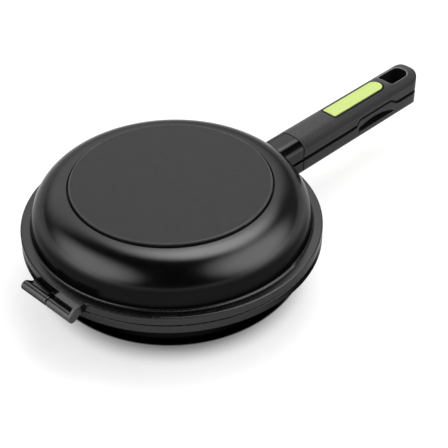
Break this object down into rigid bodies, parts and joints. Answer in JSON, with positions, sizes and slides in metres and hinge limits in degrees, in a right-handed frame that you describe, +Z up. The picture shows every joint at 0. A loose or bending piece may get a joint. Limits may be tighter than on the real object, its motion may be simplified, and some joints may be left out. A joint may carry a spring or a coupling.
{
  "type": "double sided flip pan",
  "caption": "Round two-part frying pan: shallow cast pans hinged rim to rim opposite a split handle, so it can be shut, turned over and opened flat.",
  "frame": {"origin": "centre of the lower base disc's underside, which the pan stands on", "axes": "+Z up through both pans, +X from the pan's axis along the handle, +Y to the left of the handle; the hinge is at -X"},
  "size_m": [0.4988, 0.276, 0.1048],
  "materials": {
    "pan_coating": "glossy black baked coating on cast aluminium",
    "base_coating": "matte dark grey",
    "ferrule_finish": "polished black",
    "handle_plastic": "fine matte phenolic moulding",
    "inlay_green": "satin lime green",
    "screw_steel": "bright",
    "magnet_plating": "nickel plated",
    "seal_silicone": "matte black silicone",
    "pin_steel": "ground"
  },
  "bodies": {
    "lower_pan": {"lower_shell": "pan_coating", "lower_base_disc": "base_coating", "lower_ferrule": "ferrule_finish", "lower_handle": "handle_plastic", "lower_handle_screws": "screw_steel", "lower_handle_inlay": "inlay_green", "lower_handle_magnet": "magnet_plating", "rim_seal": "seal_silicone", "hinge_pin": "pin_steel"},
    "upper_pan": {"upper_shell": "pan_coating", "upper_base_disc": "base_coating", "upper_ferrule": "ferrule_finish", "upper_handle": "handle_plastic", "upper_handle_screws": "screw_steel", "upper_handle_inlay": "inlay_green", "upper_handle_magnet": "magnet_plating"}
  },
  "joints": [
    {"name": "pan_hinge", "type": "hinge", "parent": "lower_pan", "child": "upper_pan", "pos_m": [-0.1473, 0, 0.0544], "axis": [0, -1, 0], "range_deg": [0, 180]}
  ]
}
